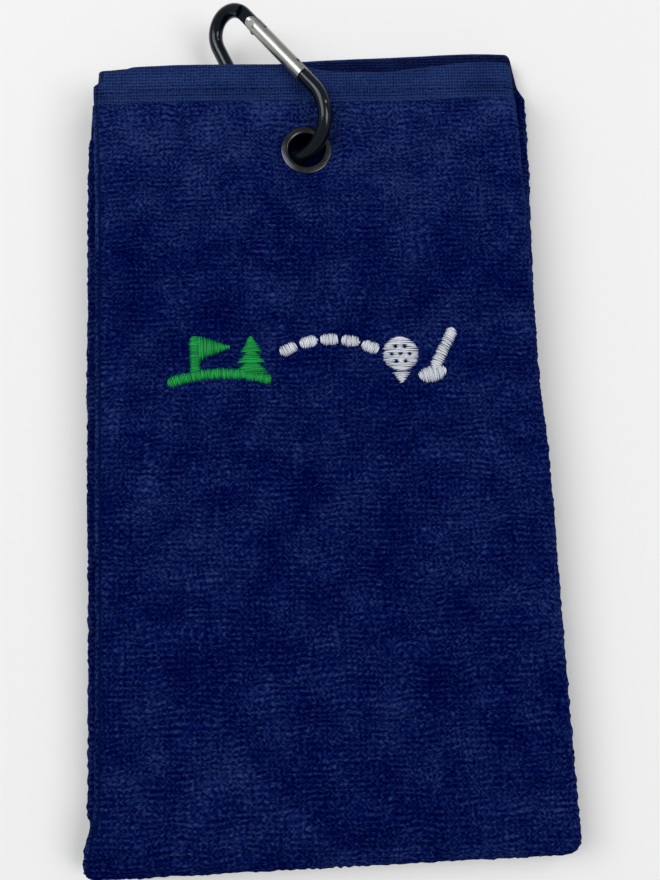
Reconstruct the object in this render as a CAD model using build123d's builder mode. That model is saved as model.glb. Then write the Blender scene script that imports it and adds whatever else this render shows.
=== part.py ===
from build123d import *
import os
from math import asin, atan2, cos, degrees, radians, sin

os.makedirs("parts", exist_ok=True)

# Golf towel of 40 x 48 cm terry, folded in thirds along its length and once more in half,
# with an eyelet through the three layers of its front half and a carabiner in the eyelet.
# It lies flat: +Z is up, +Y points to the hemmed end and X runs across the folded width.
# The origin is the middle of the underside. All sizes are in millimetres.

# Cloth
layer_t = 2.0
layer_gap = 0.1
layer_pitch = layer_t + layer_gap
half_t = 3 * layer_t + 2 * layer_gap
edge_round = 0.9
fold_y = -112.0
front_end_y = 118.0
back_end_y = 128.0
fold_gap = 0.4
mouth_gap = 7.2
end_gap = 0.5
hem_width = 11.0
hem_t = 1.4
hem_join_gap = 0.1

# Width and middle of each layer, from the lowest one up
front_layers = [(133.2, -0.7), (131.4, -0.9), (131.0, 0.0)]
back_layers = [(141.0, 0.2), (129.5, -5.3), (129.5, 5.7)]
fold_width = 137.0
fold_middle = -0.8

# Stitches along the hem
stitch_length = 2.2
stitch_width = 0.5
stitch_height = 0.25
stitch_pitch = 3.0
stitch_count = 42
stitch_from_edge = 7.5

# Eyelet, pressed onto the cloth
eyelet_x = -1.37
eyelet_y = 91.9
bore_radius = 5.3
barrel_radius = 5.7
cloth_hole_radius = 5.8
flange_radius = 7.8
lip_round = 0.95
lip_height = 1.5
rolled_lip_radius = 6.6
washer_inner_radius = 6.65
washer_t = 0.4
pressed_layer_t = 0.55
pressed_pitch = pressed_layer_t + layer_gap
pressed_half = (3 * pressed_layer_t + 2 * layer_gap) / 2
dish_inner_radius = 8.4
dish_outer_radius = 10.8

# Emblem
emblem_y = 25.0
thread_height = 0.7

# Carabiner: a small crown circle and a large basket circle joined by the spine and the gate
rod_radius = 2.2
crown_radius = 7.07
basket_radius = 12.12
circle_distance = 35.0
basket_centre = Vector(-5.45, 102.3, 16.8)
heading = 120.2
nose_up = 2.8
roll = 40.8
tongue_turn = 15.0
rivet_from_crown = 5.3

# Gate, measured from its rivet towards the nose
gate_radius = 2.35
gate_length = 24.1
gate_to_nose_gap = 0.4
rivet_radius = 0.9
rivet_clearance = 0.05
rivet_head_radius = 1.15
rivet_head_t = 0.25
rivet_half_length = 2.4
hinge_tongue_t = 1.8
hinge_slot_t = 2.2
hinge_slot_end = 4.3
heel_end = 3.6
heel_inner = 1.4
nose_tongue_t = 1.6
nose_slot_t = 2.0
nose_slot_start = 19.5
nose_tongue_start = 20.5
nose_tongue_inner = -1.0
nose_slot_inner = -1.3
spring_bore_radius = 1.15
spring_bore_end = 17.2
plunger_radius = 1.1
plunger_start = 2.85
plunger_end = 7.0
spring_start = 7.3
spring_pitch = 0.8
spring_turns = 12
spring_radius = 0.75
spring_wire_radius = 0.16

# Wire ring on the spine
ring_radius = 3.9
ring_wire_radius = 0.35
ring_tilt = 45.0
ring_from_crown = 16.0

# The front half lies on the back half, held a little open by the carabiner's spine
tilt = atan2(mouth_gap - fold_gap, front_end_y - fold_y)
front_length = (front_end_y - fold_y) / cos(tilt)
back_length = back_end_y - fold_y
back_plane = Plane(origin=(0, fold_y, 0))
front_plane = Plane(
    origin=(0, fold_y, half_t + fold_gap),
    x_dir=(1, 0, 0),
    z_dir=(0, -sin(tilt), cos(tilt)),
)
eyelet_along = (eyelet_y - fold_y) / cos(tilt)
emblem_along = (emblem_y - fold_y) / cos(tilt)


def end_of(lying):
    """The plane across the fold end of a half: x across the width, y up through the layers."""
    return Plane(origin=lying.origin, x_dir=lying.x_dir, z_dir=-lying.y_dir)


def terry_third(lying, length, index, width, middle, pierced=False):
    """A layer of terry, rounded along its long edges. A pierced one is dished around the eyelet."""
    low = index * layer_pitch
    with BuildPart() as third:
        with BuildSketch(end_of(lying).offset(-end_gap)):
            with Locations((middle, low + layer_t / 2)):
                RectangleRounded(width, layer_t, edge_round)
        extrude(amount=end_gap + hem_width + hem_join_gap - length)
        if pierced:
            from_middle = low - half_t / 2
            pressed_low = index * pressed_pitch - pressed_half
            with Locations(eyelet_plane):
                Cylinder(dish_outer_radius, 2 * half_t, mode=Mode.SUBTRACT)
            with BuildSketch(eyelet_section):
                with BuildLine():
                    Polyline(
                        (cloth_hole_radius, pressed_low),
                        (dish_inner_radius, pressed_low),
                        (dish_outer_radius, from_middle),
                        (dish_outer_radius, from_middle + layer_t),
                        (dish_inner_radius, pressed_low + pressed_layer_t),
                        (cloth_hole_radius, pressed_low + pressed_layer_t),
                        close=True,
                    )
                make_face()
            revolve(axis=eyelet_axis)
    return third


def hem_strips(lying, length, layers):
    """The flat woven hem at the end of each of the three layers."""
    with BuildPart() as hem:
        for index, (width, middle) in enumerate(layers):
            with BuildSketch(end_of(lying).offset(hem_width - length)):
                with Locations((middle, index * layer_pitch + layer_t / 2)):
                    RectangleRounded(width, hem_t, hem_t / 2 - 0.05)
            extrude(amount=-hem_width)
    return hem


def stitch_row(lying, length, middle):
    """A row of stitches on the top hem strip."""
    top = 2 * layer_pitch + layer_t / 2 + hem_t / 2
    with BuildPart() as stitches:
        with BuildSketch(lying.offset(top)):
            with Locations((middle, length - stitch_from_edge)):
                with GridLocations(stitch_pitch, 0, stitch_count, 1):
                    SlotOverall(stitch_length, stitch_width)
        extrude(amount=stitch_height)
    return stitches


eyelet_centre = front_plane.offset(half_t / 2).from_local_coords((eyelet_x, eyelet_along, 0))
eyelet_plane = Plane(origin=eyelet_centre, x_dir=(1, 0, 0), z_dir=front_plane.z_dir)
eyelet_section = Plane(origin=eyelet_centre, x_dir=(1, 0, 0), z_dir=-front_plane.y_dir)
eyelet_axis = Axis(eyelet_centre, front_plane.z_dir)

# Back half: the centre third lies on the table, the side thirds are folded onto it
back_centre_third = terry_third(back_plane, back_length, 0, *back_layers[0])
back_left_third = terry_third(back_plane, back_length, 1, *back_layers[1])
back_right_third = terry_third(back_plane, back_length, 2, *back_layers[2])
back_hem = hem_strips(back_plane, back_length, back_layers)
back_hem_stitches = stitch_row(back_plane, back_length, back_layers[2][1])

# Front half: the centre third is on top and carries the emblem
front_right_third = terry_third(front_plane, front_length, 0, *front_layers[0], pierced=True)
front_left_third = terry_third(front_plane, front_length, 1, *front_layers[1], pierced=True)
front_centre_third = terry_third(front_plane, front_length, 2, *front_layers[2], pierced=True)
front_hem = hem_strips(front_plane, front_length, front_layers)
front_hem_stitches = stitch_row(front_plane, front_length, front_layers[2][1])

# The three layers where they bend from the back half to the front half
with BuildPart() as half_fold:
    for layer in range(3):
        inner = fold_gap / 2 + layer * layer_pitch
        with BuildSketch(Plane.YZ.offset(fold_middle - fold_width / 2)):
            with Locations((fold_y, half_t + fold_gap / 2)):
                Circle(inner + layer_t)
                Circle(inner, mode=Mode.SUBTRACT)
            with Locations((fold_y + half_t, half_t + fold_gap / 2)):
                Rectangle(2 * half_t, 3 * half_t, mode=Mode.SUBTRACT)
        extrude(amount=fold_width)

# Emblem in satin stitch: a flag on a green with a tree, and a ball in flight from a club
emblem_plane = Plane(
    origin=front_plane.offset(half_t).from_local_coords((0, emblem_along, 0)),
    x_dir=(1, 0, 0),
    z_dir=front_plane.z_dir,
)
turf_line = ThreePointArc((-43.6, -5.6), (-29.4, -3.4), (-15.2, -5.6), mode=Mode.PRIVATE)

with BuildPart() as emblem_green:
    with BuildSketch(emblem_plane):
        SlotArc(turf_line, 2.8)
        with Locations((-36.5, 1.6)):
            Rectangle(2.8, 13.2)
        with BuildLine():
            Polyline((-35.6, 8.2), (-35.6, 0.8), (-26.4, 4.5), close=True)
        make_face()
        for foot, half_width in ((-3.6, 5.0), (-0.4, 4.0), (2.8, 3.0)):
            with BuildLine():
                Polyline((-20 - half_width, foot), (-20 + half_width, foot), (-20, foot + 5.0), close=True)
            make_face()
    extrude(amount=thread_height)

with BuildPart() as emblem_white:
    with BuildSketch(emblem_plane):
        for step in range(5):
            turn = 24 - 12 * step
            with Locations(Location((3.2 - 30 * sin(radians(turn)), -24 + 30 * cos(radians(turn)), 0), turn)):
                SlotOverall(5.4, 3.2)
        with Locations((24.2, 1.0)):
            Circle(5.2)
            Circle(0.5, mode=Mode.SUBTRACT)
            with PolarLocations(2.7, 6):
                Circle(0.5, mode=Mode.SUBTRACT)
        with BuildLine():
            Polyline((21.6, -4.6), (26.8, -4.6), (24.2, -7.8), close=True)
        make_face()
        with Locations(Location((37.2, 2.4, 0), 62)):
            SlotOverall(13.6, 3.0)
        with Locations(Location((33.4, -5.2, 0), 12)):
            Ellipse(4.2, 2.4)
    extrude(amount=thread_height)

# Eyelet: a barrel with a domed flange on the front, its far end rolled over inside the washer
with BuildPart() as eyelet:
    with BuildSketch(eyelet_section):
        with BuildLine():
            upper_lip = CenterArc((bore_radius + lip_round, lip_height - lip_round), lip_round, 90, 90)
            Spline(
                (bore_radius + lip_round, lip_height),
                (flange_radius - 0.5, lip_height - 0.15),
                (flange_radius, pressed_half + 0.05),
                tangents=[(1, 0), (0, -1)],
            )
            Polyline(
                (flange_radius, pressed_half + 0.05),
                (flange_radius, pressed_half),
                (barrel_radius, pressed_half),
                (barrel_radius, -pressed_half),
                (rolled_lip_radius, -pressed_half),
                (rolled_lip_radius, lip_round - lip_height),
                (rolled_lip_radius, -lip_height + 0.3),
                (bore_radius + lip_round, -lip_height),
            )
            CenterArc((bore_radius + lip_round, lip_round - lip_height), lip_round, 180, 90)
            Line((bore_radius, lip_round - lip_height), (bore_radius, lip_height - lip_round))
        make_face()
    revolve(axis=eyelet_axis)

with BuildPart() as eyelet_washer:
    with BuildSketch(eyelet_plane.offset(-pressed_half)):
        Circle(flange_radius)
        Circle(washer_inner_radius, mode=Mode.SUBTRACT)
    extrude(amount=-washer_t)

# Carabiner frame
along = Vector(1, 0, 0).rotate(Axis.Y, nose_up).rotate(Axis.Z, heading)
across = Vector(0, 0, 1).rotate(Axis.X, -roll).rotate(Axis.Y, nose_up).rotate(Axis.Z, heading)
carabiner_plane = Plane(origin=basket_centre, x_dir=along, z_dir=across)
flare = degrees(asin((basket_radius - crown_radius) / circle_distance))
straight = circle_distance * cos(radians(flare))


def on_circle(radius, angle, centre_x=0.0):
    """A point of the carabiner's centreline, in its own plane."""
    return (centre_x + radius * cos(radians(angle)), radius * sin(radians(angle)))


side_angle = 90 - flare
crown_gate_end = on_circle(crown_radius, -side_angle, circle_distance)
crown_spine_end = on_circle(crown_radius, side_angle, circle_distance)
basket_spine_end = on_circle(basket_radius, side_angle)
basket_nose_end = on_circle(basket_radius, -side_angle)
to_nose = (-cos(radians(flare)), -sin(radians(flare)))

rivet_local = (
    crown_gate_end[0] + rivet_from_crown * to_nose[0],
    crown_gate_end[1] + rivet_from_crown * to_nose[1],
)
nose_length = straight - rivet_from_crown - gate_length - gate_to_nose_gap
nose_local = (
    basket_nose_end[0] - nose_length * to_nose[0],
    basket_nose_end[1] - nose_length * to_nose[1],
)
gate_direction = along * to_nose[0] + carabiner_plane.y_dir * to_nose[1]
rivet_centre = carabiner_plane.from_local_coords((*rivet_local, 0))
gate_plane = Plane(origin=rivet_centre, x_dir=gate_direction, z_dir=across)
tongue_plane = Plane(
    origin=carabiner_plane.from_local_coords(
        (*on_circle(crown_radius, tongue_turn - side_angle, circle_distance), 0)
    ),
    x_dir=gate_direction.rotate(Axis((0, 0, 0), across), tongue_turn),
    z_dir=across,
)
rod_end = Plane(origin=rivet_centre, z_dir=gate_direction)

with BuildPart() as carabiner_frame:
    with BuildLine(carabiner_plane):
        Line(rivet_local, crown_gate_end)
        CenterArc((circle_distance, 0), crown_radius, -side_angle, 2 * side_angle)
        Line(crown_spine_end, basket_spine_end)
        CenterArc((0, 0), basket_radius, side_angle, 360 - 2 * side_angle)
        Line(basket_nose_end, nose_local)
    with BuildSketch(rod_end):
        Circle(rod_radius)
    sweep()
    for side in (1, -1):
        with BuildSketch(tongue_plane.offset(side * hinge_tongue_t / 2)):
            with Locations((6, 0)):
                Rectangle(12, 9)
        extrude(amount=side * rod_radius, mode=Mode.SUBTRACT)
    with BuildSketch(gate_plane.offset(-hinge_tongue_t / 2)):
        Circle(rod_radius)
        with Locations((1.1, -0.9)):
            Circle(1.6)
        with Locations((heel_end / 2, (heel_inner + rod_radius) / 2)):
            Rectangle(heel_end, rod_radius - heel_inner)
    extrude(amount=hinge_tongue_t)
    with Locations(gate_plane):
        Cylinder(rivet_radius, 2 * gate_radius, mode=Mode.SUBTRACT)
    with BuildSketch(gate_plane.offset(-nose_tongue_t / 2)):
        tongue_end = gate_length + gate_to_nose_gap + 1
        with Locations(((nose_tongue_start + tongue_end) / 2, (nose_tongue_inner + rod_radius - 0.1) / 2)):
            Rectangle(tongue_end - nose_tongue_start, rod_radius - 0.1 - nose_tongue_inner)
    extrude(amount=nose_tongue_t)

with BuildPart() as hinge_rivet:
    with Locations(gate_plane):
        Cylinder(rivet_radius, 2 * rivet_half_length)
    for side in (1, -1):
        with BuildSketch(gate_plane.offset(side * rivet_half_length)):
            Circle(rivet_head_radius)
        extrude(amount=side * rivet_head_t)

# Gate: a round bar, slotted at both ends and bored for its spring
with BuildPart() as gate:
    with BuildSketch(Plane(origin=gate_plane.from_local_coords((-gate_radius, 0, 0)), z_dir=gate_direction)):
        Circle(gate_radius)
    extrude(amount=gate_radius + gate_length)
    with BuildSketch(gate_plane.offset(-gate_radius)):
        with Locations((-gate_radius, 0)):
            Rectangle(2 * gate_radius, 3 * gate_radius)
        Circle(gate_radius, mode=Mode.SUBTRACT)
    extrude(amount=2 * gate_radius, mode=Mode.SUBTRACT)
    with BuildSketch(gate_plane.offset(-hinge_slot_t / 2)):
        with Locations((hinge_slot_end - 5, 0)):
            Rectangle(10, 3 * gate_radius)
    extrude(amount=hinge_slot_t, mode=Mode.SUBTRACT)
    with BuildSketch(gate_plane.offset(-nose_slot_t / 2)):
        with Locations((nose_slot_start + 5, nose_slot_inner + 5)):
            Rectangle(10, 10)
    extrude(amount=nose_slot_t, mode=Mode.SUBTRACT)
    with BuildSketch(Plane(origin=rivet_centre, z_dir=gate_direction)):
        Circle(spring_bore_radius)
    extrude(amount=spring_bore_end, mode=Mode.SUBTRACT)
    with Locations(gate_plane):
        Cylinder(rivet_radius + rivet_clearance, 4 * gate_radius, mode=Mode.SUBTRACT)

with BuildPart() as gate_plunger:
    with BuildSketch(Plane(origin=gate_plane.from_local_coords((plunger_start, 0, 0)), z_dir=gate_direction)):
        Circle(plunger_radius)
    extrude(amount=plunger_end - plunger_start)

spring_foot = gate_plane.from_local_coords((spring_start, 0, 0))
with BuildPart() as gate_spring:
    with BuildLine():
        coil = Helix(
            pitch=spring_pitch,
            height=spring_pitch * spring_turns,
            radius=spring_radius,
            center=spring_foot,
            direction=gate_direction,
        )
    with BuildSketch(Plane(origin=coil @ 0, z_dir=coil % 0)):
        Circle(spring_wire_radius)
    sweep(is_frenet=True)

# Wire ring threaded on the spine
spine_top = carabiner_plane.from_local_coords((*crown_spine_end, 0))
spine_foot = carabiner_plane.from_local_coords((*basket_spine_end, 0))
spine_direction = (spine_top - spine_foot).normalized()
ring_across = spine_direction.cross(Vector(0, 0, 1)).normalized()
ring_up = (Vector(0, 0, 1) * sin(radians(ring_tilt)) - spine_direction * cos(radians(ring_tilt))).normalized()
ring_plane = Plane(
    origin=spine_top - spine_direction * ring_from_crown,
    x_dir=ring_across,
    z_dir=ring_across.cross(ring_up),
)
with BuildPart() as wire_ring:
    with Locations(ring_plane):
        Torus(ring_radius, ring_wire_radius)

pieces = {
    "back_centre_third": back_centre_third,
    "back_left_third": back_left_third,
    "back_right_third": back_right_third,
    "back_hem": back_hem,
    "back_hem_stitches": back_hem_stitches,
    "half_fold": half_fold,
    "front_right_third": front_right_third,
    "front_left_third": front_left_third,
    "front_centre_third": front_centre_third,
    "front_hem": front_hem,
    "front_hem_stitches": front_hem_stitches,
    "emblem_green": emblem_green,
    "emblem_white": emblem_white,
    "eyelet": eyelet,
    "eyelet_washer": eyelet_washer,
    "carabiner_frame": carabiner_frame,
    "hinge_rivet": hinge_rivet,
    "gate": gate,
    "gate_plunger": gate_plunger,
    "gate_spring": gate_spring,
    "wire_ring": wire_ring,
}
for name, piece in pieces.items():
    piece.part.label = name
    export_step(piece.part, f"parts/{name}.step")
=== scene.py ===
import bmesh
import bpy
import math
import random
import numpy as np
from mathutils import Matrix, Vector, noise


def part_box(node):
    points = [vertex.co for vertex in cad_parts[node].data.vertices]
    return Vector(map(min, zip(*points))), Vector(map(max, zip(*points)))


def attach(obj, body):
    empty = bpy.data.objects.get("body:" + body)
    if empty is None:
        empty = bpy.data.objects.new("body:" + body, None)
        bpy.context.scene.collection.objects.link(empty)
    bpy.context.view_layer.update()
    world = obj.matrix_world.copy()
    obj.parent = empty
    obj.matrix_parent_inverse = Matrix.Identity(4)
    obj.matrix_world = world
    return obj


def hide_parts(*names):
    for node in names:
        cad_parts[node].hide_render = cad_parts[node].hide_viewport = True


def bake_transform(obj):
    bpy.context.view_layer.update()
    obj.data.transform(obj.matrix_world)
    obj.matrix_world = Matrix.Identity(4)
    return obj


# Looks of a terry golf towel, folded in thirds and in half, with a carabiner in its eyelet.
# Shapes are worked out in millimetres in the part's own frame and turned into metres at the mesh.

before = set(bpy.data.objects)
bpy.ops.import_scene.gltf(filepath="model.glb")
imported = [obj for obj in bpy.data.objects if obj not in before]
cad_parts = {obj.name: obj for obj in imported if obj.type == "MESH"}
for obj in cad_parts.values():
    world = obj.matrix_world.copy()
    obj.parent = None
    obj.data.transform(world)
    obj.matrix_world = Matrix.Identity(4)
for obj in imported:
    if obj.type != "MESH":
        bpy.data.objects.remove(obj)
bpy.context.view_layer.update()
MM = 0.001

# Cloth: the thickness of one layer, and how the layers are stacked. Nothing goes below LOWEST_Z.
LAYER_T = 2.0
LAYER_PITCH = 2.1
HALF_T = LAYER_T + 2 * LAYER_PITCH
FOLD_GAP = 0.4
FOLD_Y = -112.0
FOLD_MID_Z = HALF_T + FOLD_GAP / 2
LOWEST_Z = 0.02
HEM_WIDTH = 11.0
PILE = 0.35

# How far the cut edges of the right and left thirds stop short of the opposite side fold
FREE_LEFT_INSET = 9.0
FREE_RIGHT_INSET = 7.5

# Sewing: the stitches lie in a seam this far from each hem's end
SEAM_FROM_END = 7.5
STITCH_PITCH = 2.9
STITCH_LENGTH = 2.3
STITCH_RADIUS = 0.2

# Embroidery: where the motif's middle line is, and the threads that fill it
EMBLEM_Y = 25.0
THREAD_PITCH = 0.40
THREAD_RADIUS = 0.22
THREAD_ARCH = 0.7
THINNEST = 0.5
SHORTEST_CHORD = 0.3

# Mesh: rows along each half, and points across the shown third and each hidden run
TERRY_ROWS = 250
HEM_ROWS = 41
FOLD_ROWS = 25
SHOWN_POINTS = 132
HIDDEN_POINTS = 24
SLAB_POINTS = 40
PILE_SEED = 11.0


def middle_of(node):
    """The middle of a CAD node's box, in metres."""
    low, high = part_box(node)
    return (low + high) / 2


# The hole under the eyelet's flange. Faces nearer than HOLE_TRIM inside its edge are kept and rounded.
eyelet_x, eyelet_y, eyelet_z = (value / MM for value in middle_of("eyelet"))
HOLE_RADIUS = 6.2
HOLE_TRIM = 0.25

# The front half rises from the fold, because the carabiner's spine holds its mouth open
FRONT_END_Y = 118.0
BACK_END_Y = 128.0
MOUTH_LIFT = 6.8
TILT = math.atan2(MOUTH_LIFT, FRONT_END_Y - FOLD_Y)
FRONT_LENGTH = (FRONT_END_Y - FOLD_Y) / math.cos(TILT)
BACK_LENGTH = BACK_END_Y - FOLD_Y
EMBLEM_ALONG = (EMBLEM_Y - FOLD_Y) / math.cos(TILT)

# Every random draw comes from here, so each run gives the same threads
rng = random.Random(4)


# ---------------------------------------------------------------- camera, light and floor

# The camera's place in millimetres, and the turns in degrees that bring the towel before it
CAMERA_PLACE = (-11.8, -50.2, 288.1)
CAMERA_TURNS = (("Z", 2.4), ("X", -10.58), ("Y", 2.95))
SENSOR_HEIGHT = 24.0
FOCAL_LENGTH = 25.909


def make_camera():
    """Looks almost straight down on the towel, a little from its fold end."""
    data = bpy.data.cameras.new("camera")
    data.sensor_fit = "VERTICAL"
    data.sensor_height = SENSOR_HEIGHT
    data.lens = FOCAL_LENGTH
    data.clip_end = 10
    camera = bpy.data.objects.new("camera", data)
    bpy.context.scene.collection.objects.link(camera)
    about_z, about_x, about_y = (
        Matrix.Rotation(math.radians(angle), 4, axis) for axis, angle in CAMERA_TURNS
    )
    turn = about_z @ about_x @ about_y
    camera.matrix_world = Matrix.Translation(Vector(CAMERA_PLACE) * MM) @ turn.inverted()
    bpy.context.scene.camera = camera


# Lights: name, place, what it points at, width and length in metres, watts
LIGHTS = (
    ("softbox_left", (-1.1, 0.3, 1.6), (0, -0.05, 0), (1.2, 1.4), 22.5),
    ("softbox_right", (1.1, -0.4, 1.7), (0, 0, 0), (0.9, 1.2), 17.5),
    ("strip_left", (-0.42, 0.30, 0.46), (-0.01, 0.11, 0.01), (0.022, 0.32), 0.3),
    ("strip_right", (0.36, 0.26, 0.50), (-0.01, 0.11, 0.01), (0.022, 0.32), 0.3),
)
SKY_STRENGTH = 0.34
FLOOR_HALF = 1.6
FLOOR_GREY = 0.76


def area_light(name, place, target, size, watts):
    data = bpy.data.lights.new(name, "AREA")
    data.shape = "RECTANGLE"
    data.size, data.size_y = size
    data.energy = watts
    light = bpy.data.objects.new(name, data)
    bpy.context.scene.collection.objects.link(light)
    light.location = place
    light.rotation_euler = (Vector(target) - Vector(place)).to_track_quat("-Z", "Y").to_euler()


def make_studio():
    """A pale floor under two large softboxes, two narrow strips for the metal, and a pale sky."""
    for light in LIGHTS:
        area_light(*light)
    world = bpy.data.worlds.new("studio")
    bpy.context.scene.world = world
    world.use_nodes = True
    background = world.node_tree.nodes["Background"]
    background.inputs["Color"].default_value = (1, 1, 1, 1)
    background.inputs["Strength"].default_value = SKY_STRENGTH
    corners = [(x * FLOOR_HALF, y * FLOOR_HALF, 0) for x, y in ((-1, -1), (1, -1), (1, 1), (-1, 1))]
    mesh = bpy.data.meshes.new("floor")
    mesh.from_pydata(corners, [], [(0, 1, 2, 3)])
    floor = bpy.data.objects.new("floor", mesh)
    bpy.context.scene.collection.objects.link(floor)
    material = Material("pale_floor")
    material.set(Roughness=0.9)
    material.bsdf.inputs["Base Color"].default_value = (FLOOR_GREY, FLOOR_GREY, FLOOR_GREY, 1)
    mesh.materials.append(material.data)
    bpy.context.scene.view_settings.view_transform = "Standard"


# ---------------------------------------------------------------- materials

class Material:
    """A node material with short ways to add and join nodes."""

    def __init__(self, name):
        self.data = bpy.data.materials.new(name)
        self.data.use_nodes = True
        self.nodes = self.data.node_tree.nodes
        self.bsdf = self.nodes["Principled BSDF"]

    def set(self, **values):
        for name, value in values.items():
            self.bsdf.inputs[name.replace("_", " ")].default_value = value

    def join(self, value, socket):
        if isinstance(value, bpy.types.NodeSocket):
            self.data.node_tree.links.new(value, socket)
        else:
            socket.default_value = value

    def node(self, kind, inputs=(), **settings):
        made = self.nodes.new("ShaderNode" + kind)
        for name, value in settings.items():
            setattr(made, name, value)
        for name, value in dict(inputs).items():
            self.join(value, made.inputs[name])
        return made

    def math(self, operation, a, b=0.0):
        return self.node("Math", {0: a, 1: b}, operation=operation).outputs[0]

    def times(self, a, b):
        return self.math("MULTIPLY", a, b)

    def total(self, first, *others):
        for other in others:
            first = self.math("ADD", first, other)
        return first

    def parts(self, vector):
        """The three outputs of a split vector."""
        return self.node("SeparateXYZ", {0: vector}).outputs

    def object_place(self):
        return self.node("TexCoord").outputs["Object"]

    def colour(self, value, *stops):
        self.join(self.ramp(value, *stops), self.bsdf.inputs["Base Color"])

    def cloth_place(self):
        """The place on the cloth in millimetres, as two numbers and as a vector."""
        place = self.node("Attribute", attribute_name="cloth").outputs["Vector"]
        x, y, _ = self.parts(place)
        return x, y, place

    def noise(self, vector, scale, detail=2.0, roughness=0.5):
        made = self.node(
            "TexNoise", {"Vector": vector, "Scale": scale, "Detail": detail, "Roughness": roughness}
        )
        return made.outputs[0]

    def ramp(self, value, *stops):
        made = self.node("ValToRGB", {0: value})
        elements = made.color_ramp.elements
        while len(elements) < len(stops):
            elements.new(0.5)
        for element, (place, colour) in zip(elements, stops):
            element.position = place
            element.color = (*colour, 1)
        return made.outputs[0]

    def range(self, value, low, high, to_low=-1.0, to_high=1.0):
        made = self.node(
            "MapRange",
            {"Value": value, "From Min": low, "From Max": high, "To Min": to_low, "To Max": to_high},
        )
        return made.outputs[0]

    def bump(self, height, distance, strength=1.0):
        made = self.node("Bump", {"Height": height, "Distance": distance, "Strength": strength})
        self.join(made.outputs[0], self.bsdf.inputs["Normal"])


def srgb(*levels):
    """A colour from 8-bit levels, as linear light."""
    return tuple(((v / 255 + 0.055) / 1.055) ** 2.4 if v > 10 else v / 255 / 12.92 for v in levels)


def warped(m, x, y, place, scale, across, along):
    """Moves x and y by smooth noise of the given scale, by up to about across and along."""
    shift = m.node("TexNoise", {"Vector": place, "Scale": scale, "Detail": 2.0})
    to_x, to_y, _ = m.parts(shift.outputs["Color"])
    x = m.total(x, m.times(m.math("SUBTRACT", to_x, 0.5), 2 * across))
    y = m.total(y, m.times(m.math("SUBTRACT", to_y, 0.5), 2 * along))
    return x, y


def wave(m, value, pitch):
    return m.math("SINE", m.times(value, 2 * math.pi / pitch))


def terry_material():
    """Looped cotton pile: wandering rows of small loops with loose fibres, paler in patches. Painted shade
    darkens the pits between loops and a painted sheen lightens the loop tops; a painted highlight lightens
    the side edges, where the loops are seen from the side; and the pile is paler towards the front hem."""
    m = Material("terry_navy")
    x, y, place = m.cloth_place()
    x, y = warped(m, x, y, place, 0.08, 2.6, 2.0)
    x, y = warped(m, x, y, place, 0.75, 0.75, 0.45)
    rows = wave(m, y, 1.62)
    columns = wave(m, m.total(x, m.times(rows, 0.35)), 1.5)
    area = m.noise(place, 0.2, 2.0)
    rows = m.times(rows, m.range(area, 0.38, 0.62, 0.4, 1.0))
    columns = m.times(columns, m.range(area, 0.38, 0.62, 1.0, 0.5))
    loose = m.node("CombineXYZ", {0: m.times(x, 0.8), 1: m.times(y, 1.2)}).outputs[0]
    loops = m.range(m.noise(loose, 0.95, 1.0), 0.32, 0.68)
    fibres = m.range(m.noise(loose, 2.4, 3.0, 0.7), 0.36, 0.64)
    height = m.total(m.times(rows, 0.62), m.times(columns, 0.62), m.times(loops, 0.9), m.times(fibres, 0.5))
    clumps = m.range(m.noise(place, 0.085, 5.0, 0.6), 0.3, 0.7)
    patches = m.range(m.noise(place, 0.03, 2.0, 0.5), 0.3, 0.7)
    # Painted highlight: the cloth is paler where its surface turns sideways, at the folded side edges.
    facing = m.parts(m.node("TexCoord").outputs["Normal"])[0]
    painted_side_highlight = m.range(m.math("ABSOLUTE", facing), 0.25, 0.95, 0.0, 0.2)
    near_hem = m.range(y, 172.0, 212.0, 0.0, 0.15)
    # The pile's height also sets the colour: painted shade in the pits between loops and a painted sheen on
    # the loop tops, from the ramp's palest stops.
    tone = m.total(m.times(height, 0.21), m.times(clumps, 0.15), m.times(patches, 0.08), painted_side_highlight, near_hem, 0.49)
    m.colour(
        tone,
        (0.1, srgb(0, 2, 62)),
        (0.34, srgb(0, 13, 78)),
        (0.5, srgb(10, 27, 90)),
        (0.66, srgb(26, 42, 104)),
        (0.9, srgb(50, 69, 131)),
    )
    m.set(Roughness=1.0, Specular_IOR_Level=0.0)
    m.bump(height, 0.0004)
    return m.data


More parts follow.
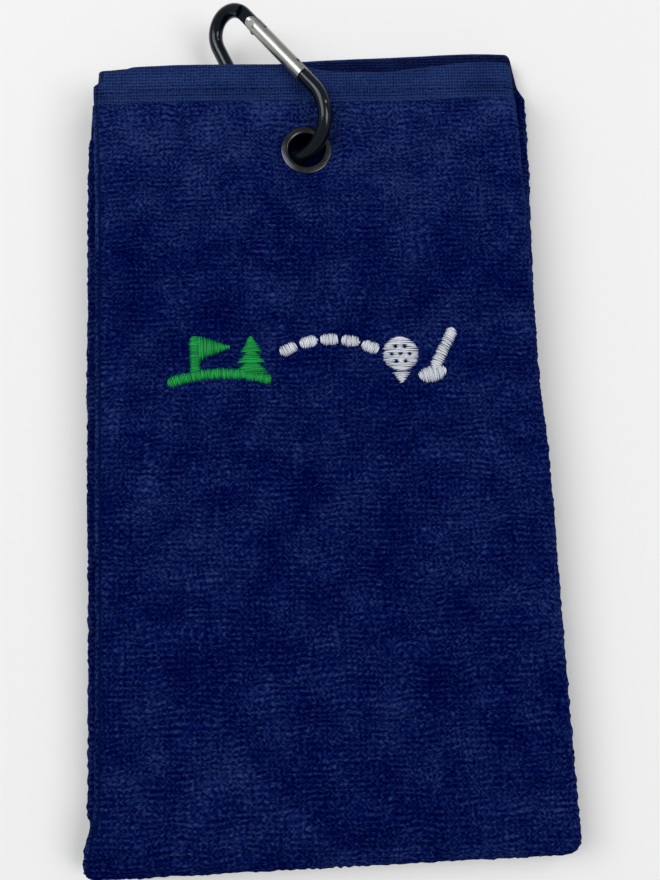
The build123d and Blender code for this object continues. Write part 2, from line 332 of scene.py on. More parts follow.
def hem_material(name, painted_shade):
    """Flat woven band: fine ribs across and along, with seam lines darkened as painted shade. Away from its
    end it is darker by the given amount of painted shade, for a hem that lies in shadow."""
    m = Material(name)
    x, y, place = m.cloth_place()
    x, y = warped(m, x, y, place, 0.2, 0.3, 0.3)
    weave = m.total(m.times(wave(m, x, 0.92), 0.4), m.times(wave(m, y, 1.0), 0.6))
    from_end = m.times(m.parts(place)[2], 1 / MM)
    # Painted shade: the tone is darker along the seam grooves.
    painted_seam_shade = 0.0
    for seam, depth in ((SEAM_FROM_END, 0.34), (6.2, 0.15), (8.9, 0.2)):
        off = m.math("ABSOLUTE", m.math("SUBTRACT", from_end, seam))
        painted_seam_shade = m.total(painted_seam_shade, m.range(off, 0.0, 0.55, -depth, 0.0))
    slubs = m.range(m.noise(place, 1.3, 3.0, 0.6), 0.3, 0.7)
    height = m.total(m.times(weave, 1.2), m.times(slubs, 0.9))
    broad = m.range(m.noise(place, 0.1, 2.0), 0.3, 0.7)
    # Painted shade: past about 1.3 mm from the end the tone drops by the given shade amount, leaving the
    # end's rim paler.
    inside = m.range(from_end, 0.5, 1.3, 0.5, 0.5 - painted_shade)
    tone = m.total(m.times(height, 0.24), m.times(broad, 0.12), painted_seam_shade, inside)
    m.colour(
        tone,
        (0.0, srgb(2, 8, 48)),
        (0.3, srgb(19, 37, 88)),
        (0.5, srgb(28, 48, 100)),
        (0.7, srgb(38, 59, 112)),
        (0.95, srgb(52, 73, 128)),
    )
    m.set(Roughness=0.95, Specular_IOR_Level=0.05)
    m.bump(height, 0.00028)
    return m.data


def thread_material(name, colour, dark, gloss=0.25):
    """Rayon embroidery or sewing thread: each thread has its own tone, with a fine twist along it."""
    m = Material(name)
    coordinates = m.object_place()
    fibre = m.noise(coordinates, 2300.0, 3.0, 0.7)
    own = m.node("Attribute", attribute_name="tone").outputs["Fac"]
    m.colour(m.total(m.times(fibre, 0.7), m.times(own, 0.3)), (0.2, dark), (0.78, colour))
    m.set(Roughness=0.42, Specular_IOR_Level=gloss)
    m.bump(fibre, 0.00008, 0.6)
    return m.data


def black_anodised():
    """Gloss black over aluminium, with faint handling marks and slightly worn tone."""
    m = Material("gloss_black")
    coordinates = m.object_place()
    marks = m.noise(coordinates, 900.0, 4.0, 0.7)
    smudge = m.noise(coordinates, 120.0, 3.0, 0.6)
    m.colour(smudge, (0.3, (0.0005, 0.002, 0.004)), (0.7, (0.001, 0.004, 0.008)))
    m.join(m.range(smudge, 0.3, 0.7, 0.10, 0.17), m.bsdf.inputs["Roughness"])
    m.set(Specular_IOR_Level=0.35, Specular_Tint=(0.85, 0.93, 1.0, 1))
    m.bump(marks, 0.00002, 0.25)
    return m.data


GRAIN_DRAWN = 0.93


def satin_aluminium():
    """Bare gate bar with fine drawing lines along it."""
    m = Material("satin_aluminium")
    coordinates = m.object_place()
    along = (middle_of("gate_plunger") - middle_of("hinge_rivet")).normalized()
    length = m.node("VectorMath", {0: coordinates, 1: along}, operation="DOT_PRODUCT").outputs["Value"]
    stretched = m.node("VectorMath", {0: along}, operation="SCALE")
    m.join(m.times(length, -GRAIN_DRAWN), stretched.inputs["Scale"])
    grain_at = m.node("VectorMath", {0: coordinates, 1: stretched.outputs[0]}, operation="ADD").outputs[0]
    grain = m.noise(grain_at, 9000.0, 3.0, 0.6)
    smudge = m.noise(coordinates, 260.0, 3.0, 0.6)
    m.colour(grain, (0.3, (0.37, 0.38, 0.36)), (0.7, (0.52, 0.53, 0.50)))
    m.join(m.range(smudge, 0.3, 0.7, 0.30, 0.42), m.bsdf.inputs["Roughness"])
    m.set(Metallic=1.0)
    m.bump(grain, 0.00001, 0.3)
    return m.data


def metal(name, colour, roughness, wear):
    """Plated or drawn metal with fine scratches and slightly uneven polish."""
    m = Material(name)
    coordinates = m.object_place()
    scratch = m.noise(coordinates, 2600.0, 4.0, 0.7)
    patch = m.noise(coordinates, 300.0, 3.0, 0.6)
    darker = tuple(c * (1 - wear) for c in colour)
    m.colour(patch, (0.3, darker), (0.7, colour))
    m.join(m.range(patch, 0.3, 0.7, roughness * 0.8, roughness * 1.25), m.bsdf.inputs["Roughness"])
    m.set(Metallic=1.0)
    m.bump(scratch, 0.00001, 0.3)
    return m.data


# ---------------------------------------------------------------- cloth shapes

# Depths are measured from the middle of the half fold outwards, so both halves share one section:
# the right third is innermost, the left third lies over it and the centre third is outermost.
INNER, MIDDLE, OUTER = (FOLD_GAP / 2 + LAYER_T / 2 + k * LAYER_PITCH for k in range(3))
STACK_MIDDLE = FOLD_GAP / 2 + HALF_T / 2
FOLD_LENGTH = math.pi * (OUTER + LAYER_T / 2)

# Edges of each half, as (y, x) points from the fold up
FRONT_LEFT = [
    (-118, -70.2), (-108, -68.6), (-98, -66.4), (-60, -66.0), (20, -65.9),
    (76, -65.8), (105, -66.5), (113.6, -66.6), (114.5, -65.2), (118, -64.9),
]
FRONT_RIGHT = [
    (-118, 69.0), (-108, 68.0), (-60, 67.6), (-5, 67.3), (18, 66.2),
    (60, 66.1), (90, 65.5), (104, 65.2), (118, 64.6),
]
BACK_LEFT = [
    (-118, -71.3), (-112, -71.1), (-105.5, -69.2), (-101, -70.1), (-92, -70.0),
    (-40, -70.2), (5, -70.8), (98, -70.9), (128, -70.0),
]
BACK_RIGHT = [
    (-118, 69.5), (-108, 68.7), (-92, 69.6), (-30, 69.5), (17, 68.3),
    (60, 69.9), (95, 71.4), (117, 71.8), (118.5, 70.2), (128, 68.4),
]

# How far each half's hem runs past its nominal end, as (x, y) points
FRONT_END = [
    (-66, -0.5), (-62, 0.3), (-58, 0.0), (-54, 1.3), (-33, 1.9), (-5, 1.6),
    (7, -0.9), (25, -1.3), (35, -0.1), (55, 1.6), (62, 1.2), (66, -0.8),
]
BACK_END = [
    (-71, -14.0), (-66, -14.3), (-60, -11.0), (-45, -5.0), (-20, -1.2),
    (0, 0.8), (33, 2.0), (55, 2.8), (66, 2.4), (71, -2.0),
]


def smooth_line(points, at):
    """A smooth curve through a few (place, value) points that never overshoots them."""
    places, values = np.array(points, float).T
    rise = np.diff(values) / np.diff(places)
    same_way = rise[1:] * rise[:-1] > 0
    total = np.where(same_way, rise[1:] + rise[:-1], 1.0)
    inner = np.where(same_way, 2 * rise[1:] * rise[:-1] / total, 0.0)
    slopes = np.concatenate([rise[:1], inner, rise[-1:]])
    at = np.clip(np.asarray(at, float), places[0], places[-1])
    i = np.clip(np.searchsorted(places, at) - 1, 0, len(places) - 2)
    step = places[i + 1] - places[i]
    t = (at - places[i]) / step
    return (
        (2 * t**3 - 3 * t**2 + 1) * values[i]
        + (t**3 - 2 * t**2 + t) * step * slopes[i]
        + (3 * t**2 - 2 * t**3) * values[i + 1]
        + (t**3 - t**2) * step * slopes[i + 1]
    )


def smooth_step(value, low, high):
    t = np.clip((value - low) / (high - low), 0, 1)
    return t * t * (3 - 2 * t)


def end_shift(side, x, share):
    """How far the end of a half runs past its nominal place, at x and at a share of the way to it.
    The front half's unevenness is mostly in its hem."""
    if side == "back":
        return smooth_line(BACK_END, x) * share
    return smooth_line(FRONT_END, x) * share * (0.25 + 0.75 * smooth_step(share, 0.95, 1.0))


def edge_lines(side):
    """The left and right edges of a half."""
    return (FRONT_LEFT, FRONT_RIGHT) if side == "front" else (BACK_LEFT, BACK_RIGHT)


def edges_at(lines, y):
    return (float(smooth_line(line, y)) for line in lines)


def uneven(x, y, size, seed):
    """Smooth unevenness from about -1 to 1, with bumps of that size in millimetres."""
    return np.array([noise.noise((a / size + seed, b / size, seed * 1.7)) for a, b in zip(x, y)])


def arc(centre_x, centre_d, radius, start, end, steps):
    turn = np.radians(np.linspace(start, end, steps))
    return np.c_[centre_x + radius * np.cos(turn), centre_d + radius * np.sin(turn)]


def run(x0, x1, depth, steps):
    """A straight run across the cloth, with its points closer together near the eyelet."""
    fine = np.linspace(x0, x1, 600)
    closer, reach = 3.0, 8
    density = np.cumsum(1 + closer * np.exp(-(((fine - eyelet_x) / reach) ** 2)))
    at = np.interp(np.linspace(density[0], density[-1], steps), density, fine)
    return np.c_[at, np.full(steps, depth)]


def ring(parts, tips):
    """A closed outline from its parts: x, depth, the place on the cloth counted from the first x, and
    the numbers of the points at the layers' two far edges. Tips are (part, share of the part)."""
    outline = np.vstack(parts)
    steps = np.linalg.norm(np.diff(outline, axis=0), axis=1)
    numbers = [sum(map(len, parts[:k])) + int((len(parts[k]) - 1) * share) for k, share in tips]
    return outline[:, 0], outline[:, 1], outline[0, 0] + np.concatenate([[0], np.cumsum(steps)]), numbers


def bends(left, right, half):
    """The middles and radii of the two side bends of the centre third."""
    left_turn, right_turn = (OUTER - MIDDLE) / 2, (OUTER - INNER) / 2
    return {
        "left_x": left + left_turn + half,
        "left_d": (OUTER + MIDDLE) / 2,
        "left_turn": left_turn,
        "right_x": right - right_turn - half,
        "right_d": (OUTER + INNER) / 2,
        "right_turn": right_turn,
    }


def folded_section(left, right, half, dense, coarse):
    """The closed outline of all three layers, with a bend at each side."""
    b = bends(left, right, half)
    free_left, free_right = left + FREE_LEFT_INSET, right - FREE_RIGHT_INSET
    return ring([
        run(b["left_x"], b["right_x"], OUTER + half, dense),
        arc(b["right_x"], b["right_d"], b["right_turn"] + half, 90, -90, 12)[1:-1],
        run(b["right_x"], free_left, INNER - half, coarse * 2),
        arc(free_left, INNER, half, 270, 90, 7)[1:-1],
        run(free_left, b["right_x"], INNER + half, coarse),
        arc(b["right_x"], b["right_d"], b["right_turn"] - half, -90, 90, 7)[1:-1],
        run(b["right_x"], b["left_x"], OUTER - half, coarse),
        arc(b["left_x"], b["left_d"], b["left_turn"] - half, 90, 270, 5)[1:-1],
        run(b["left_x"], free_right, MIDDLE + half, coarse),
        arc(free_right, MIDDLE, half, 90, -90, 7)[1:-1],
        run(free_right, b["left_x"], MIDDLE - half, coarse),
        arc(b["left_x"], b["left_d"], b["left_turn"] + half, 270, 90, 9)[1:-1],
    ], ((3, 0.5), (9, 0.5)))


def outer_section(left, right, half, dense, coarse):
    """The closed outline of the centre third alone, with its two side bends."""
    b = bends(left, right, half)
    return ring([
        run(b["left_x"], b["right_x"], OUTER + half, dense),
        arc(b["right_x"], b["right_d"], b["right_turn"] + half, 90, -90, 12)[1:],
        arc(b["right_x"], b["right_d"], b["right_turn"] - half, -90, 90, 7),
        run(b["right_x"], b["left_x"], OUTER - half, coarse)[1:-1],
        arc(b["left_x"], b["left_d"], b["left_turn"] - half, 90, 270, 5),
        arc(b["left_x"], b["left_d"], b["left_turn"] + half, 270, 90, 9)[:-1],
    ], ((1, 1.0), (4, 1.0)))


def slab_section(left, right, half, depth, steps):
    """The closed outline of one flat layer with rounded edges."""
    left_x, right_x = left + half, right - half
    return ring([
        run(left_x, right_x, depth + half, steps),
        arc(right_x, depth, half, 90, -90, 7)[1:-1],
        run(right_x, left_x, depth - half, steps),
        arc(left_x, depth, half, 270, 90, 7)[1:-1],
    ], ((1, 0.5), (3, 0.5)))


def outward(x, depth):
    """Unit outward directions of a closed outline."""
    dx = np.roll(x, -1) - np.roll(x, 1)
    dd = np.roll(depth, -1) - np.roll(depth, 1)
    size = np.hypot(dx, dd)
    size[size < 1e-9] = 1
    return -dd / size, dx / size


def front_place(x, along, depth):
    y = FOLD_Y + along * math.cos(TILT) - depth * math.sin(TILT)
    z = FOLD_MID_Z + along * math.sin(TILT) + depth * math.cos(TILT)
    return np.c_[x, y, z]


def back_place(x, along, depth):
    return np.c_[x, FOLD_Y + along, np.maximum(FOLD_MID_Z - depth, LOWEST_Z)]


def half_place(side, x, along, depth):
    """Places points of a half, from their distance along it from the fold and their depth."""
    return front_place(x, along, depth) if side == "front" else back_place(x, along, depth)


def fold_place(turn):
    """Places points on the half fold, where turn goes from 0 at the back half to 1 at the front half."""
    angle = math.radians(-90 - turn * (180 - math.degrees(TILT)))

    def place(x, depth):
        z = FOLD_MID_Z + depth * math.sin(angle)
        return np.c_[x, FOLD_Y + depth * math.cos(angle), np.maximum(z, LOWEST_Z)]

    return place


def pressed(x, along, depth):
    """The stack is pressed flat under the eyelet's flange, and swells a little just outside it."""
    eyelet_along = (eyelet_y - FOLD_Y) / math.cos(TILT)
    distance = np.hypot(x - eyelet_x, along - eyelet_along)
    thinnest = 0.298
    swell = 0.05 * np.exp(-(((distance - 14.5) / 2.5) ** 2))
    share = thinnest + (1 - thinnest) * smooth_step(distance, 7.9, 12.5) + swell
    return STACK_MIDDLE + (depth - STACK_MIDDLE) * share, distance


def end_face(points, tips, first):
    """Closes an end of the cloth with triangles from one side of the layer to the other.
    Points are its outline, numbered from first."""
    size = len(points)
    sides = []
    for way in (1, -1):
        numbers = [(tips[0] + way * n) % size for n in range((way * (tips[1] - tips[0])) % size + 1)]
        steps = np.linalg.norm(np.diff(points[numbers], axis=0), axis=1)
        sides.append((numbers, np.concatenate([[0], np.cumsum(steps)]) / steps.sum()))
    (near, near_at), (far, far_at) = sides
    triangles = []
    i = j = 0
    while i < len(near) - 1 or j < len(far) - 1:
        step_near = j == len(far) - 1 or (i < len(near) - 1 and near_at[i + 1] <= far_at[j + 1])
        ahead = near[i + 1] if step_near else far[j + 1]
        if near[i] != far[j] and ahead not in (near[i], far[j]):
            triangles.append((first + near[i], first + ahead, first + far[j]))
        i, j = (i + 1, j) if step_near else (i, j + 1)
    return triangles


def cloth_object(name, rows, tips, material, hole=False):
    """Lofts rows of (points, cloth places, distance from the eyelet) into one closed cloth."""
    points = np.vstack([r[0] for r in rows])
    cloth = np.vstack([r[1] for r in rows])
    size = len(rows[0][0])
    j, i = np.meshgrid(np.arange(len(rows) - 1), np.arange(size), indexing="ij")
    k = (i + 1) % size
    faces = np.stack([j * size + i, j * size + k, (j + 1) * size + k, (j + 1) * size + i], -1).reshape(-1, 4)
    if hole:
        distance = np.concatenate([r[2] for r in rows])
        faces = faces[distance[faces].min(axis=1) > HOLE_RADIUS - HOLE_TRIM]
    faces = faces.tolist()
    last = (len(rows) - 1) * size
    faces += [face[::-1] for face in end_face(rows[0][0], tips, 0)]
    faces += end_face(rows[-1][0], tips, last)
    mesh = bpy.data.meshes.new(name)
    mesh.from_pydata((points * MM).tolist(), [], faces)
    attribute = mesh.attributes.new("cloth", "FLOAT_VECTOR", "POINT")
    attribute.data.foreach_set("vector", cloth.astype(np.float32).ravel())
    mesh.materials.append(material)
    mesh.polygons.foreach_set("use_smooth", [True] * len(mesh.polygons))
    mesh.update()
    made = bpy.data.objects.new(name, mesh)
    bpy.context.scene.collection.objects.link(made)
    bpy.context.view_layer.objects.active = made
    return made


def trim_hole(piece):
    """Rounds the edges of the hole that the eyelet is pressed into, and drops the points inside it."""
    mesh = bmesh.new()
    mesh.from_mesh(piece.data)
    bmesh.ops.delete(mesh, geom=[v for v in mesh.verts if not v.link_faces], context="VERTS")
    along = Vector((0, math.cos(TILT), math.sin(TILT)))
    centre = Vector((eyelet_x, eyelet_y, eyelet_z)) * MM
    for v in mesh.verts:
        if v.is_boundary:
            off = v.co - centre
            across, forward = off.x, off.dot(along)
            share = HOLE_RADIUS * MM / math.hypot(across, forward)
            v.co += Vector((across * (share - 1), 0, 0)) + along * forward * (share - 1)
    mesh.to_mesh(piece.data)
    mesh.free()


def piled(x, depth, place_x, place_y, seed, amount):
    """Moves an outline outwards by the pile's clumps and single loops."""
    nx, nd = outward(x, depth)
    loops = uneven(place_x, place_y, 1.25, seed)
    clumps = uneven(place_x, place_y, 6.0, seed + 3)
    lift = amount * (1.5 * loops + 0.3 * clumps)
    return x + nx * lift, depth + nd * lift


def terry_half(name, side, material):
    """One half's three layers of terry, up to its hem."""
    front = side == "front"
    lines = edge_lines(side)
    length = (FRONT_LENGTH if front else BACK_LENGTH) - HEM_WIDTH
    thinner_at_hem = 0.28
    rows = []
    for share in np.linspace(0, 1, TERRY_ROWS):
        along = share * length
        near_end = length - along
        half = LAYER_T / 2 - thinner_at_hem * (1 - smooth_step(near_end, 0.0, 1.6))
        left, right = edges_at(lines, FOLD_Y + along)
        x, depth, place_x, tips = folded_section(left, right, half, SHOWN_POINTS, HIDDEN_POINTS)
        shift = along + end_shift(side, x, share**6 * along / (along + HEM_WIDTH))
        place_y = shift if front else -FOLD_LENGTH - shift
        place_y = np.broadcast_to(place_y, x.shape)
        calm = min(1.0, near_end / 2.0)
        x, depth = piled(x, depth, place_x, place_y, PILE_SEED, PILE * calm)
        distance = None
        if front:
            depth, distance = pressed(x, shift, depth)
        points = half_place(side, x, shift, depth)
        rows.append((points, np.c_[place_x, place_y, np.zeros(len(x))], distance))
    if not front:
        rows.reverse()
    piece = cloth_object(name, rows, tips, material, hole=front)
    if front:
        trim_hole(piece)
    return piece


def hem_half(name, side, material):
    """One half's flat woven hem: turned over, stitched, and open at its end between the layers."""
    front = side == "front"
    lines = edge_lines(side)
    length = FRONT_LENGTH if front else BACK_LENGTH
    under_pile, rounding, inset = 0.9, 0.8, 0.3
    rows = []
    stops = np.concatenate([
        np.linspace(HEM_WIDTH + under_pile, 0.9, HEM_ROWS),
        [0.6, 0.35, 0.16, 0.05, 0.0],
    ])
    for from_end in stops:
        along = length - from_end
        turned = smooth_step(from_end, 8.3, 7.4)
        groove = math.exp(-(((from_end - SEAM_FROM_END) / 0.6) ** 2))
        edge = math.sqrt(max(0.0, 1 - (1 - min(from_end, rounding) / rounding) ** 2))
        # Half the band's thickness: more where it is turned over, less in the seam and at its end
        half = (0.58 + 0.18 * turned - 0.34 * groove) * (0.25 + 0.75 * edge)
        left, right = edges_at(lines, FOLD_Y + along)
        x, depth, place_x, tips = folded_section(left + inset, right - inset, half, 110, 16)
        shift = along + end_shift(side, x, along / length)
        nx, nd = outward(x, depth)
        lift = 0.10 * uneven(place_x, shift, 5.0, 31.0)
        x, depth = x + nx * lift, depth + nd * lift
        points = half_place(side, x, shift, depth)
        rows.append((points, np.c_[place_x, shift, np.full(len(x), from_end * MM)], None))
    if not front:
        rows.reverse()
    return cloth_object(name, rows, tips, material)


def fold_section(kind, left, right):
    """The outline of one layer where it turns round the half fold."""
    half = LAYER_T / 2
    if kind == "outer":
        return outer_section(left, right, half, SHOWN_POINTS, HIDDEN_POINTS)
    if kind == "middle":
        return slab_section(left + 2.3, right - FREE_RIGHT_INSET, half, MIDDLE, SLAB_POINTS)
    return slab_section(left + FREE_LEFT_INSET, right - 3.2, half, INNER, SLAB_POINTS)


def fold_layer(name, kind, material):
    """One layer of the half fold, bent from the back half round to the front half."""
    back, front = (tuple(edges_at(edge_lines(side), FOLD_Y)) for side in ("back", "front"))
    lift = PILE if kind == "outer" else 0.3 * PILE
    rows = []
    for turn in np.linspace(0, 1, FOLD_ROWS):
        round_corner = math.sin(math.pi * turn) ** 2
        left = (1 - turn) * back[0] + turn * front[0]
        right = (1 - turn) * back[1] + turn * front[1]
        left += 0.5 * round_corner + 1.6 * round_corner**4
        right -= 0.8 * round_corner + 1.6 * round_corner**4
        x, depth, place_x, tips = fold_section(kind, left, right)
        place_y = np.full(x.shape, -FOLD_LENGTH * (1 - turn))
        x, depth = piled(x, depth, place_x, place_y, PILE_SEED, lift)
        points = fold_place(turn)(x, np.maximum(depth, 0.05))
        rows.append((points, np.c_[place_x, place_y, np.zeros(len(x))], None))
    return cloth_object(name, rows, tips, material)


# ---------------------------------------------------------------- threads

def tubes(name, paths, radius, material, sides=5):
    """Many thin round threads as one mesh, thinner at their ends. Each path is an array of points in
    millimetres with a size, as a share of the radius."""
    points, faces, tones = [], [], []
    for path, size in paths:
        base = len(points)
        tones += [rng.uniform(0, 1)] * (len(path) * sides)
        path = np.asarray(path, float)
        direction = np.gradient(path, axis=0)
        direction /= np.linalg.norm(direction, axis=1)[:, None]
        across = np.cross(direction, (0, 0, 1.0))
        across /= np.maximum(np.linalg.norm(across, axis=1), 1e-6)[:, None]
        up = np.cross(across, direction)
        ends = np.sin(np.pi * np.linspace(0.12, 0.88, len(path))) ** 0.5
        for n, centre in enumerate(path):
            for s in range(sides):
                turn = 2 * math.pi * s / sides
                outwards = math.cos(turn) * across[n] + math.sin(turn) * up[n]
                points.append(centre + radius * size * ends[n] * outwards)
        for n in range(len(path) - 1):
            for s in range(sides):
                a, b = base + n * sides + s, base + n * sides + (s + 1) % sides
                faces.append((a, a + sides, b + sides, b))
        last = base + (len(path) - 1) * sides
        faces.append([base + s for s in range(sides)])
        faces.append([last + s for s in reversed(range(sides))])
    mesh = bpy.data.meshes.new(name)
    mesh.from_pydata((np.array(points) * MM).tolist(), [], faces)
    mesh.attributes.new("tone", "FLOAT", "POINT").data.foreach_set("value", tones)
    mesh.materials.append(material)
    mesh.polygons.foreach_set("use_smooth", [True] * len(mesh.polygons))
    mesh.update()
    made = bpy.data.objects.new(name, mesh)
    bpy.context.scene.collection.objects.link(made)
    return made


def chords_along(path, width_at):
    """Chords across a path, a thread apart. width_at gives the width at a share of its length."""
    path = np.asarray(path, float)
    steps = np.linalg.norm(np.diff(path, axis=0), axis=1)
    place = np.concatenate([[0], np.cumsum(steps)])
    nearby = 0.2

    def point(at):
        return np.array([np.interp(at, place, path[:, 0]), np.interp(at, place, path[:, 1])])

    chords = []
    for at in np.arange(THREAD_PITCH / 2, place[-1], THREAD_PITCH):
        centre = point(at)
        line = point(at + nearby) - point(at - nearby)
        direction = line / np.linalg.norm(line)
        side = np.array([-direction[1], direction[0]]) * width_at(at / place[-1]) / 2
        chords.append((centre - side, centre + side))
    return chords


def slot_width(length, width):
    """The width of a round-ended stroke along its length."""

    def width_at(share):
        from_end = min(share, 1 - share) * length
        short = max(0.0, width / 2 - from_end)
        return max(THINNEST, 2 * math.sqrt(max(0.0, (width / 2) ** 2 - short**2)))

    return width_at


def stroke(start, end, width):
    """A straight stroke with round ends."""
    start, end = np.array(start, float), np.array(end, float)
    return chords_along([start, end], slot_width(np.linalg.norm(end - start), width))


def wedge(start, end, wide):
    """A triangle from its wide foot to its tip."""
    return chords_along([start, end], lambda share: wide + (THINNEST - wide) * share)


def pointing(turn):
    """A direction at an angle of turn degrees."""
    return np.array([math.cos(math.radians(turn)), math.sin(math.radians(turn))])


def oval(centre, half_length, half_width, turn):
    """A filled oval of chords, its length at an angle of turn degrees."""
    reach = pointing(turn) * half_length
    centre = np.array(centre, float)
    return chords_along(
        [centre - reach, centre + reach],
        lambda share: max(THINNEST, 2 * half_width * math.sqrt(max(0.0, 1 - (2 * share - 1) ** 2))),
    )


def dimpled(chords, centre, dimples, size):
    """Splits the chords where they cross a dimple. Size is the dimples' radius."""
    kept = []
    for a, b in chords:
        cuts = []
        for dimple in dimples:
            middle = np.array(centre) + np.array(dimple)
            line = (b - a) / np.linalg.norm(b - a)
            at = float(np.dot(middle - a, line))
            off = np.linalg.norm(a + line * at - middle)
            if off < size:
                reach = math.sqrt(size**2 - off**2)
                cuts.append((at - reach, at + reach))
        start = 0.0
        for low, high in sorted(cuts):
            if low - start > SHORTEST_CHORD:
                kept.append((a + line * start, a + line * low))
            start = high
        if not cuts:
            kept.append((a, b))
        elif np.linalg.norm(b - a) - start > SHORTEST_CHORD:
            kept.append((a + line * start, b))
    return kept


def satin(name, chords, material):
    """Satin stitch: a thread over each chord, high in its middle and drawn into the pile at its ends.
    Longer threads stand higher, and no two lie quite alike."""
    share = np.linspace(0, 1, 7)
    arch = np.sin(np.pi * share) ** THREAD_ARCH
    paths = []
    for a, b in chords:
        length = np.linalg.norm(b - a)
        height = -0.05 + (0.42 + 0.06 * min(length, 4.0)) * arch
        height = height + rng.uniform(-0.09, 0.09)
        line = (b - a) / max(length, 1e-6)
        lean = np.array([-line[1], line[0]]) * rng.uniform(-0.12, 0.12)
        start = a - line * rng.uniform(0.0, 0.3) - lean
        end = b + line * rng.uniform(0.0, 0.3) + lean
        flat = start[None, :] * (1 - share[:, None]) + end[None, :] * share[:, None]
        flat = flat + rng.uniform(-0.05, 0.05)
        depth = FOLD_GAP / 2 + HALF_T + height
        paths.append((front_place(flat[:, 0], EMBLEM_ALONG + flat[:, 1], depth), rng.uniform(0.85, 1.1)))
    return tubes(name, paths, THREAD_RADIUS, material)


def stitch_line(name, side, material):
    """The row of sewing stitches that holds the hem's turned edge."""
    whole = FRONT_LENGTH if side == "front" else BACK_LENGTH
    length = whole - SEAM_FROM_END
    left, right = edges_at(edge_lines(side), FOLD_Y + length)
    left_margin, right_margin = 3.5, 5.0
    share = np.linspace(0, 1, 6)
    depth = OUTER + 0.12 + 0.26 * np.sin(np.pi * share) ** THREAD_ARCH
    paths = []
    for start in np.arange(left + left_margin, right - right_margin, STITCH_PITCH):
        x = start + STITCH_LENGTH * share
        shift = length + end_shift(side, x, length / whole) + rng.uniform(-0.08, 0.08)
        paths.append((half_place(side, x, shift, depth), 1.0))
    return tubes(name, paths, STITCH_RADIUS, material)


# ---------------------------------------------------------------- the motif

# A flag and a tree on a green, the line of a flight, a ball on a tee and a club, in millimetres
# from the motif's middle. A wedge is its foot, its tip and the foot's width.
TURF_MIDDLE = (-29.4, -3.4)
TURF_HALF_SPAN = 15.2
TURF_LENGTH = 30.6
POLE = ((-36.5, -4.0), (-36.5, 8.2))
GREEN_STROKE = 2.8
FLAG = ((-35.4, 4.5), (-26.2, 4.5), 7.4)
TREE_X = -20
TREE_STEP = 5.0
TREE_TIERS = ((-3.6, 10.0), (-0.4, 8.0), (2.8, 6.0))
FLIGHT_MIDDLE = (3.2, -24)
FLIGHT_RADIUS = 30
FLIGHT_TURNS = (24, 12, 0, -12, -24)
DASH_HALF = 2.7
DASH_WIDTH = 3.2
BALL = (24.2, 1.0)
BALL_RADIUS = 5.2
DIMPLE_RING = 2.7
DIMPLE_RADIUS = 0.6
TEE = ((24.2, -4.6), (24.2, -7.8), 5.2)
SHAFT_MIDDLE = (37.2, 2.4)
SHAFT_HALF = 6.8
SHAFT_WIDTH = 3.0
SHAFT_TURN = 62
HEAD = ((33.4, -5.2), 4.2, 2.4, 12)


def green_motif():
    """The turf's low arch, the flag on its pole, and a tree of three tiers."""
    middle, top = TURF_MIDDLE
    across = np.linspace(middle - TURF_HALF_SPAN, middle + TURF_HALF_SPAN, 20)
    turf = [(x, top - 2.2 * ((x - middle) / 14.2) ** 2) for x in across]
    chords = chords_along(turf, slot_width(TURF_LENGTH, GREEN_STROKE))
    chords += stroke(*POLE, GREEN_STROKE)
    chords += wedge(*FLAG)
    for foot, width in TREE_TIERS:
        chords += wedge((TREE_X, foot), (TREE_X, foot + TREE_STEP), width)
    return chords


def bar(middle, half_length, turn, width):
    """A stroke about its middle, at an angle of turn degrees."""
    reach = half_length * pointing(turn)
    return stroke(middle - reach, middle + reach, width)


def white_motif():
    """Five dashes of a flight, the dimpled ball on its tee, and the club."""
    chords = []
    for turn in FLIGHT_TURNS:
        along = pointing(turn)
        middle = np.array(FLIGHT_MIDDLE) + FLIGHT_RADIUS * np.array([-along[1], along[0]])
        chords += bar(middle, DASH_HALF, turn, DASH_WIDTH)
    dimples = [(0, 0)] + [DIMPLE_RING * pointing(60 * n) for n in range(6)]
    chords += dimpled(oval(BALL, BALL_RADIUS, BALL_RADIUS, 90), BALL, dimples, DIMPLE_RADIUS)
    chords += wedge(*TEE)
    chords += bar(np.array(SHAFT_MIDDLE), SHAFT_HALF, SHAFT_TURN, SHAFT_WIDTH)
    chords += oval(*HEAD)
    return chords


# ---------------------------------------------------------------- the object

make_camera()
make_studio()

terry = terry_material()
hem = hem_material("hem_navy", 0.0)
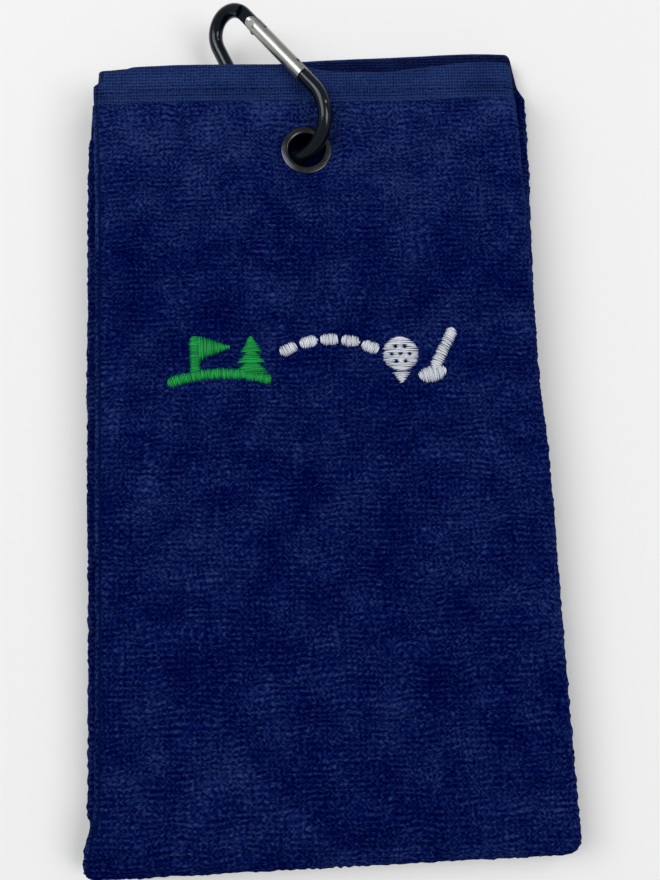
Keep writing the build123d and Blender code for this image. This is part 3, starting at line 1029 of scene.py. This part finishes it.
# The back hem's copy of the hem material, with painted shade over its band.
shaded_hem = hem_material("hem_navy_painted_shade", 0.42)
navy_thread = thread_material("navy_thread", srgb(26, 43, 94), srgb(13, 27, 72), 0.1)
green_thread = thread_material("green_thread", srgb(12, 166, 74), srgb(0, 92, 40))
white_thread = thread_material("white_thread", srgb(228, 231, 238), srgb(150, 155, 170))

front_cloth = terry_half("front_cloth", "front", terry)
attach(front_cloth, "front_half")
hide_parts("front_centre_third", "front_left_third", "front_right_third")
back_cloth = terry_half("back_cloth", "back", terry)
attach(back_cloth, "back_half")
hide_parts("back_centre_third", "back_left_third", "back_right_third")

front_hem = hem_half("front_hem_band", "front", hem)
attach(front_hem, "front_half")
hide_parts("front_hem")
back_hem = hem_half("back_hem_band", "back", shaded_hem)
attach(back_hem, "back_half")
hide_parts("back_hem")

for kind, middle_depth in (("inner", INNER), ("middle", MIDDLE), ("outer", OUTER)):
    piece = fold_layer("half_fold_" + kind, kind, terry)
    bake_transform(piece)
    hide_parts("half_fold")

for side in ("front", "back"):
    stitches = stitch_line(side + "_stitch_line", side, navy_thread)
    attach(stitches, side + "_half")
    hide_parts(side + "_hem_stitches")

emblem_green = satin("emblem_green_thread", green_motif(), green_thread)
emblem_white = satin("emblem_white_thread", white_motif(), white_thread)
for piece, node, slot in (
    (emblem_green, "emblem_green", "green_thread"),
    (emblem_white, "emblem_white", "white_thread"),
):
    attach(piece, "front_half")
    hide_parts(node)

finishes = {
    "carabiner_frame": black_anodised(),
    "gate": satin_aluminium(),
    "hinge_rivet": metal("bright_rivet", (0.78, 0.78, 0.77), 0.2, 0.1),
    "eyelet": metal("gunmetal", (0.055, 0.058, 0.066), 0.24, 0.25),
    "eyelet_washer": metal("gunmetal_washer", (0.045, 0.048, 0.056), 0.36, 0.3),
    "gate_plunger": metal("plunger_steel", (0.5, 0.5, 0.5), 0.3, 0.2),
    "gate_spring": metal("spring_steel", (0.46, 0.46, 0.47), 0.3, 0.25),
    "wire_ring": metal("ring_steel", (0.55, 0.55, 0.56), 0.28, 0.25),
}
for node, finish in finishes.items():
    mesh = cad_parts[node].data
    mesh.materials.clear()
    mesh.materials.append(finish)
